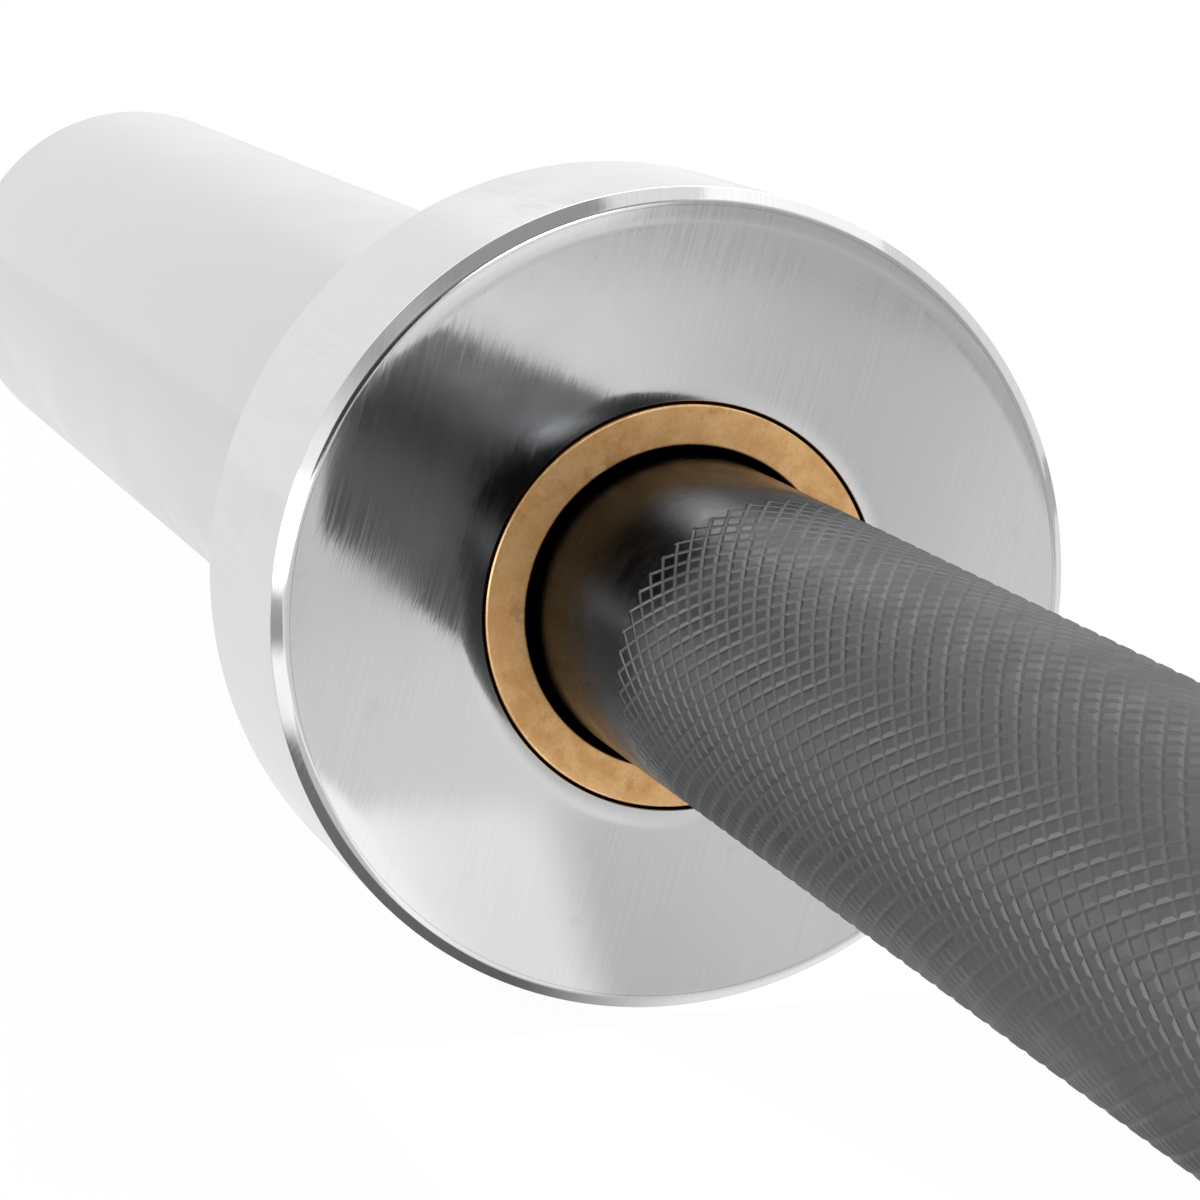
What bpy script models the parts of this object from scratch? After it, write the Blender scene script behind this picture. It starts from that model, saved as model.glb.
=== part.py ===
"""Short straight barbell: a steel shaft with a plated sleeve that spins on bronze bushings at each end.

The bar lies along X with its centre at the origin. Both ends are alike, so each piece of an end is
shaped once, in the end's own frame, and placed twice: local Z runs outboard along the bar, and local
Z = 0 is the collar's inner face. A turned piece is a (radius, station) profile swept round Z.
"""

import math

import bpy

# Driving dimensions, in metres.
GRIP_LENGTH = 1.020
SHAFT_DIAMETER = 0.0285
SHAFT_END_CHAMFER = 0.0015

SLEEVE_LENGTH = 0.250
SLEEVE_DIAMETER = 0.050
SLEEVE_END_CHAMFER = 0.0015

COLLAR_DIAMETER = 0.077
COLLAR_WIDTH = 0.0265
COLLAR_WEB = 0.0065
COLLAR_FACE_CHAMFER = 0.0014
COLLAR_RIM_CHAMFER = 0.0011
COLLAR_BACK_CHAMFER = 0.0008
COLLAR_BORE_CHAMFER = 0.0005

BUSHING_DIAMETER = 0.0377
BUSHING_LENGTH = 0.030
BUSHING_EDGE = 0.0004
MOUTH_GAP = 0.00085
MOUTH_DEPTH = 0.003

WASHER_THICKNESS = 0.002
WASHER_SIDE_CLEARANCE = 0.0006

RING_THICKNESS = 0.0015
RING_BAND = 0.0030
RING_LUG_CLEARANCE = 0.0008
GROOVE_DEPTH = 0.0012
SHAFT_STUB = 0.004
SHAFT_END_CLEARANCE = 0.0008

CAP_THICKNESS = 0.004
CAP_SEAT_STEP = 0.0018
CAP_RECESS = 0.005
CAP_DISH_DEPTH = 0.001
CAP_DISH_RIM = 0.006
CAP_EDGE = 0.0004
CAP_RING_THICKNESS = 0.0012
CAP_RING_BAND = 0.0022
CAP_RING_LUG = 0.0044
CAP_GROOVE_DEPTH = 0.001

RING_OPENING = math.radians(28)
RING_LUG_SPAN = math.radians(17)
LUG_HOLE_DIAMETER = 0.0018

# Clearance between pieces that touch, seat or run in each other.
GAP = 0.0003

# Sides of each round shape.
OUTER_STEPS = 64
INNER_STEPS = 48
RING_STEPS = 28
LUG_STEPS = 3
HOLE_STEPS = 8

# Radii that follow from the driving dimensions.
SHAFT_R = SHAFT_DIAMETER / 2
SLEEVE_R = SLEEVE_DIAMETER / 2
COLLAR_R = COLLAR_DIAMETER / 2
BUSHING_R = BUSHING_DIAMETER / 2
RUNNING_R = SHAFT_R + GAP
HOUSING_R = BUSHING_R + GAP
TUBE_SEAT_R = SLEEVE_R + GAP
WASHER_R = HOUSING_R - WASHER_SIDE_CLEARANCE
GROOVE_R = SHAFT_R - GROOVE_DEPTH
RING_SEAT_R = GROOVE_R + GAP
CAP_SEAT_R = HOUSING_R + CAP_SEAT_STEP
CAP_R = CAP_SEAT_R - GAP
CAP_GROOVE_R = CAP_SEAT_R + CAP_GROOVE_DEPTH
CAP_RING_R = CAP_GROOVE_R - GAP

# Stations along an end, outboard from the collar's inner face.
TUBE_START = COLLAR_WEB + GAP
CAP_TOP = SLEEVE_LENGTH - CAP_RECESS
CAP_BOTTOM = CAP_TOP - CAP_THICKNESS
CAP_SHOULDER = CAP_BOTTOM - GAP
CAP_RING_START = CAP_TOP + GAP
SHAFT_END = CAP_SHOULDER - SHAFT_END_CLEARANCE
OUTER_RING_START = SHAFT_END - SHAFT_STUB - RING_THICKNESS
OUTER_WASHER_START = OUTER_RING_START - GAP - WASHER_THICKNESS
OUTER_BUSHING_END = OUTER_WASHER_START - GAP
OUTER_BUSHING_START = OUTER_BUSHING_END - BUSHING_LENGTH
INNER_WASHER_START = OUTER_BUSHING_START - GAP - WASHER_THICKNESS
INNER_RING_START = INNER_WASHER_START - GAP - RING_THICKNESS

MERGE_DISTANCE = 0.00001
SHARP_ANGLE = math.radians(25)


def clear_scene():
    for obj in list(bpy.data.objects):
        bpy.data.objects.remove(obj, do_unlink=True)


def new_collection(name):
    collection = bpy.data.collections.new(name)
    bpy.context.scene.collection.children.link(collection)
    return collection


def new_material(name, color, roughness, metallic):
    material = bpy.data.materials.new(name)
    material.use_nodes = True
    shader = material.node_tree.nodes["Principled BSDF"]
    shader.inputs["Base Color"].default_value = (*color, 1.0)
    shader.inputs["Roughness"].default_value = roughness
    shader.inputs["Metallic"].default_value = metallic
    return material


def new_object(name, data, collection, parent=None):
    obj = bpy.data.objects.new(name, data)
    collection.objects.link(obj)
    obj.parent = parent
    return obj


def turned_mesh(name, profile, steps, material):
    """Sweeps a profile round Z. It starts at the top of the outer side and runs down it.

    A profile that ends on the axis is a solid piece, and any other one closes into a ring.
    """
    mesh = bpy.data.meshes.new(name)
    last = len(profile) - 1
    edges = [(i, i + 1) for i in range(last)]
    if profile[0][0] > 0:
        edges.append((last, 0))
    mesh.from_pydata([(radius, 0.0, station) for radius, station in profile], edges, [])

    blank = new_object(name, mesh, bpy.context.scene.collection)
    screw = blank.modifiers.new("turn", "SCREW")
    screw.axis = "Z"
    screw.steps = steps
    screw.render_steps = steps
    screw.use_merge_vertices = True
    screw.merge_threshold = MERGE_DISTANCE
    graph = bpy.context.evaluated_depsgraph_get()
    turned = bpy.data.meshes.new_from_object(blank.evaluated_get(graph))
    bpy.data.objects.remove(blank)
    bpy.data.meshes.remove(mesh)

    turned.name = name
    turned.materials.append(material)
    turned.shade_smooth()
    turned.set_sharp_from_angle(angle=SHARP_ANGLE)
    return turned


def arc(radius, start, end, steps):
    """Points from one angle to another, both included."""
    angles = [start + (end - start) * i / steps for i in range(steps + 1)]
    return [(radius * math.cos(angle), radius * math.sin(angle)) for angle in angles]


def ring_outline(seat_r, band_r, lug_r):
    """A C-shaped spring ring: an arc on its seat, and a band that widens to a lug at each end."""
    first = RING_OPENING / 2
    last = 2 * math.pi - first
    outline = arc(seat_r, first, last, RING_STEPS)
    outline += arc(lug_r, last, last - RING_LUG_SPAN, LUG_STEPS)
    outline += arc(band_r, last - RING_LUG_SPAN, first + RING_LUG_SPAN, RING_STEPS)
    outline += arc(lug_r, first + RING_LUG_SPAN, first, LUG_STEPS)
    return outline


def lug_hole(seat_r, lug_r, side):
    """The plier hole in the middle of one lug."""
    angle = side * (RING_OPENING + RING_LUG_SPAN) / 2
    centre_r = (seat_r + lug_r) / 2
    centre = (centre_r * math.cos(angle), centre_r * math.sin(angle))
    circle = arc(LUG_HOLE_DIAMETER / 2, 0.0, 2 * math.pi, HOLE_STEPS)[:-1]
    return [(centre[0] + x, centre[1] + y) for x, y in circle]


def ring_curve(name, seat_r, band_r, lug_r, thickness, material):
    """A flat spring ring as a filled 2D curve, centred on its own mid-plane."""
    curve = bpy.data.curves.new(name, "CURVE")
    curve.dimensions = "2D"
    curve.fill_mode = "BOTH"
    curve.extrude = thickness / 2
    outlines = [ring_outline(seat_r, band_r, lug_r)]
    outlines += [lug_hole(seat_r, lug_r, side) for side in (1, -1)]
    for outline in outlines:
        spline = curve.splines.new("POLY")
        spline.points.add(len(outline) - 1)
        for point, (x, y) in zip(spline.points, outline):
            point.co = (x, y, 0.0, 1.0)
        spline.use_cyclic_u = True
    curve.materials.append(material)
    return curve


def collar_profile():
    """Shoulder ring: its web is bored for the bushing, and the tube seats in the counterbore behind."""
    return [
        (COLLAR_R - COLLAR_BACK_CHAMFER, COLLAR_WIDTH),
        (COLLAR_R, COLLAR_WIDTH - COLLAR_BACK_CHAMFER),
        (COLLAR_R, COLLAR_FACE_CHAMFER),
        (COLLAR_R - COLLAR_RIM_CHAMFER, 0.0),
        (HOUSING_R + COLLAR_BORE_CHAMFER, 0.0),
        (HOUSING_R, COLLAR_BORE_CHAMFER),
        (HOUSING_R, COLLAR_WEB),
        (TUBE_SEAT_R, COLLAR_WEB),
        (TUBE_SEAT_R, COLLAR_WIDTH),
    ]


def tube_profile():
    """Sleeve tube: both bushings sit in its bore, and its outer end is stepped and grooved for the cap."""
    groove_start = CAP_RING_START - GAP
    groove_end = CAP_RING_START + CAP_RING_THICKNESS + GAP
    return [
        (SLEEVE_R - SLEEVE_END_CHAMFER, SLEEVE_LENGTH),
        (SLEEVE_R, SLEEVE_LENGTH - SLEEVE_END_CHAMFER),
        (SLEEVE_R, TUBE_START),
        (HOUSING_R, TUBE_START),
        (HOUSING_R, CAP_SHOULDER),
        (CAP_SEAT_R, CAP_SHOULDER),
        (CAP_SEAT_R, groove_start),
        (CAP_GROOVE_R, groove_start),
        (CAP_GROOVE_R, groove_end),
        (CAP_SEAT_R, groove_end),
        (CAP_SEAT_R, SLEEVE_LENGTH),
    ]


def inner_bushing_profile():
    """Bearing at the collar: flush with its face, and relieved at its mouth round the shaft."""
    mouth_r = SHAFT_R + MOUTH_GAP
    return [
        (BUSHING_R - BUSHING_EDGE, BUSHING_LENGTH),
        (BUSHING_R, BUSHING_LENGTH - BUSHING_EDGE),
        (BUSHING_R, BUSHING_EDGE),
        (BUSHING_R - BUSHING_EDGE, 0.0),
        (mouth_r, 0.0),
        (mouth_r, MOUTH_DEPTH),
        (RUNNING_R, MOUTH_DEPTH + mouth_r - RUNNING_R),
        (RUNNING_R, BUSHING_LENGTH),
    ]


def outer_bushing_profile():
    """Bearing near the sleeve's end, between the two thrust washers."""
    return [
        (BUSHING_R - BUSHING_EDGE, OUTER_BUSHING_END),
        (BUSHING_R, OUTER_BUSHING_END - BUSHING_EDGE),
        (BUSHING_R, OUTER_BUSHING_START + BUSHING_EDGE),
        (BUSHING_R - BUSHING_EDGE, OUTER_BUSHING_START),
        (RUNNING_R, OUTER_BUSHING_START),
        (RUNNING_R, OUTER_BUSHING_END),
    ]


def washer_profile():
    return [
        (WASHER_R, WASHER_THICKNESS),
        (WASHER_R, 0.0),
        (RUNNING_R, 0.0),
        (RUNNING_R, WASHER_THICKNESS),
    ]


def cap_profile():
    """Disc on the tube's shoulder, with a shallow dish in its outer side."""
    rim_r = CAP_R - CAP_DISH_RIM
    dish_bottom = CAP_TOP - CAP_DISH_DEPTH
    return [
        (0.0, dish_bottom),
        (rim_r - CAP_DISH_DEPTH, dish_bottom),
        (rim_r, CAP_TOP),
        (CAP_R - CAP_EDGE, CAP_TOP),
        (CAP_R, CAP_TOP - CAP_EDGE),
        (CAP_R, CAP_BOTTOM),
        (0.0, CAP_BOTTOM),
    ]


def shaft_profile():
    """The shaft from its middle to one end, with the two ring grooves, and the same mirrored."""
    middle = GRIP_LENGTH / 2
    end = middle + SHAFT_END
    half = [(0.0, end), (SHAFT_R - SHAFT_END_CHAMFER, end), (SHAFT_R, end - SHAFT_END_CHAMFER)]
    for ring_start in (OUTER_RING_START, INNER_RING_START):
        low = middle + ring_start - GAP
        high = middle + ring_start + RING_THICKNESS + GAP
        half += [(SHAFT_R, high), (GROOVE_R, high), (GROOVE_R, low), (SHAFT_R, low)]
    return half + [(radius, -station) for radius, station in reversed(half)]


def end_pieces():
    """Every piece of an end: (name, its mesh or curve, the station of its own origin)."""
    plated = new_material("bright plated steel", (0.80, 0.80, 0.81), 0.12, 1.0)
    bronze = new_material("bearing bronze", (0.66, 0.40, 0.18), 0.30, 1.0)
    spring = new_material("spring steel", (0.20, 0.20, 0.21), 0.40, 1.0)
    blackened = new_material("blackened cap steel", (0.06, 0.06, 0.065), 0.35, 1.0)

    collar = turned_mesh("collar", collar_profile(), OUTER_STEPS, plated)
    tube = turned_mesh("sleeve_tube", tube_profile(), OUTER_STEPS, plated)
    inner_bushing = turned_mesh("inner_bushing", inner_bushing_profile(), INNER_STEPS, bronze)
    outer_bushing = turned_mesh("outer_bushing", outer_bushing_profile(), INNER_STEPS, bronze)
    washer = turned_mesh("thrust_washer", washer_profile(), INNER_STEPS, bronze)
    cap = turned_mesh("end_cap", cap_profile(), INNER_STEPS, blackened)
    shaft_ring = ring_curve(
        "retaining_ring",
        RING_SEAT_R,
        RING_SEAT_R + RING_BAND,
        HOUSING_R - RING_LUG_CLEARANCE,
        RING_THICKNESS,
        spring,
    )
    cap_ring = ring_curve(
        "end_cap_ring",
        CAP_RING_R,
        CAP_RING_R - CAP_RING_BAND,
        CAP_RING_R - CAP_RING_LUG,
        CAP_RING_THICKNESS,
        spring,
    )
    return [
        ("collar", collar, 0.0),
        ("sleeve_tube", tube, 0.0),
        ("inner_bushing", inner_bushing, 0.0),
        ("outer_bushing", outer_bushing, 0.0),
        ("inner_thrust_washer", washer, INNER_WASHER_START),
        ("outer_thrust_washer", washer, OUTER_WASHER_START),
        ("inner_retaining_ring", shaft_ring, INNER_RING_START + RING_THICKNESS / 2),
        ("outer_retaining_ring", shaft_ring, OUTER_RING_START + RING_THICKNESS / 2),
        ("end_cap", cap, 0.0),
        ("end_cap_ring", cap_ring, CAP_RING_START + CAP_RING_THICKNESS / 2),
    ]


def build():
    clear_scene()
    barbell = new_collection("barbell")

    oxide = new_material("dark oxide steel", (0.10, 0.10, 0.105), 0.38, 1.0)
    shaft = new_object("shaft", turned_mesh("shaft", shaft_profile(), OUTER_STEPS, oxide), barbell)
    shaft.rotation_euler = (0.0, math.pi / 2, 0.0)

    pieces = end_pieces()
    for side, direction, turn in (("left", -1, 0.0), ("right", 1, math.pi)):
        axis = new_object(f"{side}_sleeve_axis", None, barbell)
        axis.location = (direction * GRIP_LENGTH / 2, 0.0, 0.0)
        axis.rotation_euler = (0.0, -math.pi / 2, turn)
        for name, shape, station in pieces:
            piece = new_object(f"{side}_{name}", shape, barbell, axis)
            piece.location = (0.0, 0.0, station)


build()
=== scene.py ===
"""Looks of the short barbell: bright plated collars and sleeves, bronze bushings and a dark knurled shaft.

Everything is in metres in the CAD's frame: the bar lies along X with its centre at the origin. A place
along an end is given by t, its distance from the bar's middle, so x is t on the right and -t on the left.
"""

import math

import bpy
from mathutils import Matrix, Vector


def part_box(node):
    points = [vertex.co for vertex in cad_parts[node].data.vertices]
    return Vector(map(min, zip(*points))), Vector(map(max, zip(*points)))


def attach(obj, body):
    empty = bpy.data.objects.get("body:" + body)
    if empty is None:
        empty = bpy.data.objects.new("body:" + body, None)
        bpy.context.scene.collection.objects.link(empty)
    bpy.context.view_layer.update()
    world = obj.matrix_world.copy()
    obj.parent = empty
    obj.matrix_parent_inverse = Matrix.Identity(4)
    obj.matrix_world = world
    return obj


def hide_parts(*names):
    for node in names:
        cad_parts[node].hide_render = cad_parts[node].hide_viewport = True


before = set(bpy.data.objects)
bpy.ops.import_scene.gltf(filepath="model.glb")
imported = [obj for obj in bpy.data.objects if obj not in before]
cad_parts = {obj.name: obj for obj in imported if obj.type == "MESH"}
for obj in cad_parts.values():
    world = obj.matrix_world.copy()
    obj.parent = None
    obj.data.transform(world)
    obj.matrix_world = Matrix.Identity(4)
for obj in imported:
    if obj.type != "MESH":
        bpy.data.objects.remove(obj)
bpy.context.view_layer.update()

SIDES = (("left", -1), ("right", 1))

# Sizes read from the frame.
COLLAR_LOW, COLLAR_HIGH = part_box("right_collar")
TUBE_LOW, TUBE_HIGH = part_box("right_sleeve_tube")
BUSHING_LOW, BUSHING_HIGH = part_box("right_inner_bushing")
CAP_LOW, CAP_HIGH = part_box("right_end_cap")
CAP_RING_LOW, CAP_RING_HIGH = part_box("right_end_cap_ring")
INNER_RING_LOW, INNER_RING_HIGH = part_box("right_inner_retaining_ring")
OUTER_RING_LOW, OUTER_RING_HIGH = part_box("right_outer_retaining_ring")
_, SHAFT_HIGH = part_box("shaft")
FACE_T = COLLAR_LOW.x
COLLAR_R = COLLAR_HIGH.y
SLEEVE_R = TUBE_HIGH.y
BUSHING_R = BUSHING_HIGH.y
CAP_R = CAP_HIGH.y
SHAFT_R = SHAFT_HIGH.y

# Details of the turned pieces, as in the CAD, with finer edges at the collar's bore and on the bushing.
GAP = 0.0003
FACE_CHAMFER = 0.0014
RIM_CHAMFER = 0.0011
BACK_CHAMFER = 0.0008
BORE_CHAMFER = 0.00006
COLLAR_WEB = 0.0065
BUSHING_EDGE = 0.00015
MOUTH_GAP = 0.00085
MOUTH_DEPTH = 0.003
CAP_DISH_DEPTH = 0.001
CAP_DISH_RIM = 0.006
CAP_EDGE = 0.0004
CAP_GROOVE_DEPTH = 0.001
CAP_RING_BAND = 0.0022
CAP_RING_LUG = 0.0044
RING_OPENING = math.radians(28)
RING_LUG_SPAN = math.radians(17)
LUG_HOLE_R = 0.0009
SHAFT_GROOVE_DEPTH = 0.0012
END_CHAMFER = 0.0015
HOUSING_R = BUSHING_R + GAP
RUNNING_R = SHAFT_R + GAP
TUBE_SEAT_R = SLEEVE_R + GAP
CAP_SEAT_R = CAP_R + GAP

# Soft edges that polishing leaves on the collar's face.
FACE_ROLL_WIDTH = 0.0024
FACE_ROLL_DROP = 0.00014
BORE_ROLL_WIDTH = 0.0020
BORE_ROLL_DROP = 0.00012

# The knurl: two families of grooves that cross the axis at the same angle, with diamonds between them.
# A place on it is counted in rows along the bar and in steps round it.
KNURL_TEETH = 50
KNURL_ANGLE = math.radians(29.2)
KNURL_DEPTH = 0.00008
GROOVE_SHARE = 0.45
KNURL_PHASE = math.radians(-0.72)
KNURL_MARGIN = 0.0242
CENTRE_PLAIN = 0.150
LEAD_IN = 0.009
LEAD_IN_START = 0.70
GROOVE_RUNOUT = 0.0004
BLEND_WIDTH = 0.001
AROUND = 2 * KNURL_TEETH
ROW = math.pi * SHAFT_R / KNURL_TEETH / math.tan(KNURL_ANGLE)
KNURL_START_T = FACE_T - KNURL_MARGIN
KNURL_ROWS = round((KNURL_START_T - CENTRE_PLAIN / 2) / ROW)
KNURL_END_T = KNURL_START_T - KNURL_ROWS * ROW
KNURL_EDGE = GROOVE_RUNOUT + BLEND_WIDTH

# How finely the meshes are made.
TURN_STEPS = 192
RING_STEPS = 96
LUG_STEPS = 8
HOLE_STEPS = 24
ROLL_STEPS = 6
FILLET_STEPS = 4
FILLET = 0.00015
EDGE_FILLET = 0.0003
SUPPORT_REACH = 1.5
SHARP_ANGLE = math.radians(25)
WELDED_PER_METRE = 1e7
WELDED_PER_STEP = 1e4
UV_NAME = "OFBake"

# Colours of the finishes, in linear light. A pair is the darker and the lighter end of a mix.
# Black painted into the gap round the shaft at the collar's bore, on the bronze and on the shaft: painted
# shade.
PAINTED_GAP_SHADE = (0.004, 0.004, 0.004)
PLATING_TONES = ((0.65, 0.65, 0.655), (0.68, 0.68, 0.685))
PLATING_STAIN = (0.61, 0.61, 0.615)
TUBE_TONES = ((0.58, 0.58, 0.585), (0.61, 0.61, 0.61))
BRONZE_TONES = ((0.80, 0.458, 0.190), (0.91, 0.572, 0.270))
BRONZE_STAIN = (0.50, 0.26, 0.10)
BRONZE_SPECK = (0.40, 0.21, 0.09)
OXIDE_TONES = ((0.036, 0.036, 0.036), (0.048, 0.048, 0.049))
LAND_TONES = ((0.110, 0.110, 0.111), (0.131, 0.131, 0.132))
# Lighter tones for bare metal in the shaft's grooves, which over the knurl are partly a painted highlight.
BARE_AND_HIGHLIGHT_TONES = ((0.160, 0.160, 0.161), (0.200, 0.200, 0.201))
OXIDE_GLANCE_TINT = (0.565, 0.572, 0.58, 1.0)
SPRING_TONES = ((0.10, 0.10, 0.105), (0.24, 0.24, 0.25))
CAP_TONES = ((0.018, 0.018, 0.019), (0.030, 0.030, 0.031))
WHITE = (1.0, 1.0, 1.0, 1.0)

# The numbers of the Mix node's sockets for colours, which share their names with those for numbers.
MIX_FACTOR = 0
MIX_A = 6
MIX_B = 7
MIX_RESULT = 2

# The camera, from the edges fitted in the photograph.
CAMERA_PLACE = Vector((-0.17149, -0.11848, 0.07616))
CAMERA_AIM = Vector((-0.93028, 0.30359, -0.20587))
CAMERA_LENS = 120.0
CAMERA_SENSOR = 36.0
CAMERA_CLIP = (0.01, 100.0)

# The floor. A share of it glows evenly, in reflections and for the camera, and the rest takes the bar's
# shadow. For the camera that share grows from the one here to the whole, over the shadow's reach.
FLOOR_SIZE = 8.0
FLOOR_COLOR = (0.86, 0.86, 0.86, 1.0)
FLOOR_MIRRORED_SHARE = 0.85
FLOOR_SEEN_SHARE = 0.97
SHADOW_REACH = 0.16


def rounded(corners):
    """Profile points of (radius, t, fillet) corners: a fillet is a curve with a support point at each end."""
    points = []
    for i, (radius, t, fillet) in enumerate(corners):
        here = Vector((radius, t))
        if fillet == 0:
            points.append(here)
            continue
        before = (Vector(corners[i - 1][:2]) - here).normalized()
        after = (Vector(corners[(i + 1) % len(corners)][:2]) - here).normalized()
        start = here + before * fillet
        end = here + after * fillet
        points.append(here + before * fillet * SUPPORT_REACH)
        for k in range(FILLET_STEPS + 1):
            s = k / FILLET_STEPS
            points.append(start * (1 - s) ** 2 + here * 2 * s * (1 - s) + end * s**2)
        points.append(here + after * fillet * SUPPORT_REACH)
    return points


def lengths_along(points, closed):
    """How far along the profile each point lies, as a share of the whole, with the start again at the end."""
    track = list(points) + ([points[0]] if closed else [])
    sums = [0.0]
    for a, b in zip(track, track[1:]):
        sums.append(sums[-1] + (b - a).length)
    return [s / sums[-1] for s in sums]


def turned(name, corners, side):
    """A mesh turned about X. The profile starts on the outer side and runs down it towards the bar's middle.

    A profile that begins and ends on the axis is a solid piece, and any other one closes into a ring.
    """
    profile = rounded(corners)
    closed = profile[0].x > 0
    shares = lengths_along(profile, closed)
    verts = []
    rings = []
    for point in profile:
        count = TURN_STEPS if point.x > 0 else 1
        rings.append([len(verts) + k % count for k in range(TURN_STEPS + 1)])
        for k in range(count):
            angle = 2 * math.pi * k / TURN_STEPS
            verts.append((side * point.y, point.x * math.cos(angle), point.x * math.sin(angle)))
    if closed:
        rings.append(rings[0])

    faces = []
    spots = []
    for j, (a, b) in enumerate(zip(rings, rings[1:])):
        for k in range(TURN_STEPS):
            loop = [(a[k], k, j), (b[k], k, j + 1), (b[k + 1], k + 1, j + 1), (a[k + 1], k + 1, j)]
            kept = [c for i, c in enumerate(loop) if c[0] != loop[i - 1][0]]
            if side < 0:
                kept.reverse()
            faces.append([c[0] for c in kept])
            spots += [(c[1] / TURN_STEPS, shares[c[2]]) for c in kept]
    mesh = new_mesh(name, verts, faces, spots)
    mesh.set_sharp_from_angle(angle=SHARP_ANGLE)
    return mesh


def new_mesh(name, verts, faces, spots):
    """A smooth mesh with a place on its texture map for each corner of its faces."""
    mesh = bpy.data.meshes.new(name)
    mesh.from_pydata(verts, [], faces)
    layer = mesh.uv_layers.new(name=UV_NAME)
    layer.data.foreach_set("uv", [value for spot in spots for value in spot])
    mesh.shade_smooth()
    return mesh


def roll(start_r, end_r, drop, t):
    """Profile points of a flat face that curves away towards end_r, where it has dropped outboard."""
    points = []
    for k in range(ROLL_STEPS + 1):
        s = k / ROLL_STEPS
        points.append((start_r + (end_r - start_r) * s, t + drop * s**2, 0))
    return points


def collar_corners():
    """Shoulder ring with a polished face: its edges are soft, the chamfer beside the rim is crisp."""
    edge_r = COLLAR_R - RIM_CHAMFER
    bore_r = HOUSING_R + BORE_CHAMFER
    back_t = COLLAR_HIGH.x
    outer_roll = roll(edge_r - FACE_ROLL_WIDTH, edge_r, FACE_ROLL_DROP, FACE_T)
    inner_roll = roll(bore_r + BORE_ROLL_WIDTH, bore_r, BORE_ROLL_DROP, FACE_T)
    return [
        (TUBE_SEAT_R, back_t, FILLET),
        (COLLAR_R - BACK_CHAMFER, back_t, FILLET),
        (COLLAR_R, back_t - BACK_CHAMFER, FILLET),
        (COLLAR_R, FACE_T + FACE_CHAMFER, FILLET),
        (edge_r, FACE_T + FACE_ROLL_DROP, EDGE_FILLET),
        *outer_roll[-2::-1],
        *inner_roll,
        (HOUSING_R, FACE_T + BORE_ROLL_DROP + BORE_CHAMFER, 0),
        (HOUSING_R, FACE_T + COLLAR_WEB, 0),
        (TUBE_SEAT_R, FACE_T + COLLAR_WEB, 0),
    ]


def tube_corners():
    """Sleeve tube, with the seat and groove for the end cap in its outer end."""
    end_t = TUBE_HIGH.x
    shoulder_t = CAP_LOW.x - GAP
    groove = (CAP_RING_LOW.x - GAP, CAP_RING_HIGH.x + GAP)
    groove_r = CAP_SEAT_R + CAP_GROOVE_DEPTH
    return [
        (CAP_SEAT_R, end_t, FILLET),
        (SLEEVE_R - END_CHAMFER, end_t, FILLET * 2),
        (SLEEVE_R, end_t - END_CHAMFER, FILLET * 2),
        (SLEEVE_R, TUBE_LOW.x, 0),
        (HOUSING_R, TUBE_LOW.x, 0),
        (HOUSING_R, shoulder_t, 0),
        (CAP_SEAT_R, shoulder_t, 0),
        (CAP_SEAT_R, groove[0], 0),
        (groove_r, groove[0], 0),
        (groove_r, groove[1], 0),
        (CAP_SEAT_R, groove[1], 0),
    ]


def bushing_corners():
    """Bearing at the collar: flush with its face, and relieved at its mouth round the shaft."""
    mouth_r = SHAFT_R + MOUTH_GAP
    edge = BUSHING_EDGE
    high_t = BUSHING_HIGH.x
    low_t = BUSHING_LOW.x
    return [
        (BUSHING_R - edge, high_t, 0),
        (BUSHING_R, high_t - edge, 0),
        (BUSHING_R, low_t + edge, FILLET / 2),
        (BUSHING_R - edge, low_t, FILLET / 2),
        (mouth_r, low_t, FILLET),
        (mouth_r, low_t + MOUTH_DEPTH, 0),
        (RUNNING_R, low_t + MOUTH_DEPTH + mouth_r - RUNNING_R, 0),
        (RUNNING_R, high_t, 0),
    ]


def cap_corners():
    """Disc in the sleeve's end, with a shallow dish in its outer side."""
    rim_r = CAP_R - CAP_DISH_RIM
    top_t = CAP_HIGH.x
    return [
        (0, top_t - CAP_DISH_DEPTH, 0),
        (rim_r - CAP_DISH_DEPTH, top_t - CAP_DISH_DEPTH, FILLET * 2),
        (rim_r, top_t, FILLET),
        (CAP_R - CAP_EDGE, top_t, FILLET / 2),
        (CAP_R, top_t - CAP_EDGE, FILLET / 2),
        (CAP_R, CAP_LOW.x, 0),
        (0, CAP_LOW.x, 0),
    ]


def arc(radius, start, end, steps):
    """Points from one angle to another, both included."""
    angles = [start + (end - start) * i / steps for i in range(steps + 1)]
    return [(radius * math.cos(angle), radius * math.sin(angle)) for angle in angles]


def cap_ring_outlines():
    """The cap's internal spring ring, an open band that widens to a lug at each end, and the lugs' holes."""
    outer_r = CAP_RING_HIGH.y
    band_r = outer_r - CAP_RING_BAND
    lug_r = outer_r - CAP_RING_LUG
    first = RING_OPENING / 2
    last = 2 * math.pi - first
    outline = arc(outer_r, first, last, RING_STEPS)
    outline += arc(lug_r, last, last - RING_LUG_SPAN, LUG_STEPS)
    outline += arc(band_r, last - RING_LUG_SPAN, first + RING_LUG_SPAN, RING_STEPS)
    outline += arc(lug_r, first + RING_LUG_SPAN, first, LUG_STEPS)
    outlines = [outline]
    lug_middle_r = (outer_r + lug_r) / 2
    for sign in (1, -1):
        angle = sign * (RING_OPENING + RING_LUG_SPAN) / 2
        hole = arc(LUG_HOLE_R, 0.0, 2 * math.pi, HOLE_STEPS)[:-1]
        centre = (lug_middle_r * math.cos(angle), lug_middle_r * math.sin(angle))
        outlines.append([(centre[0] + y, centre[1] + z) for y, z in hole])
    return outlines


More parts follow.
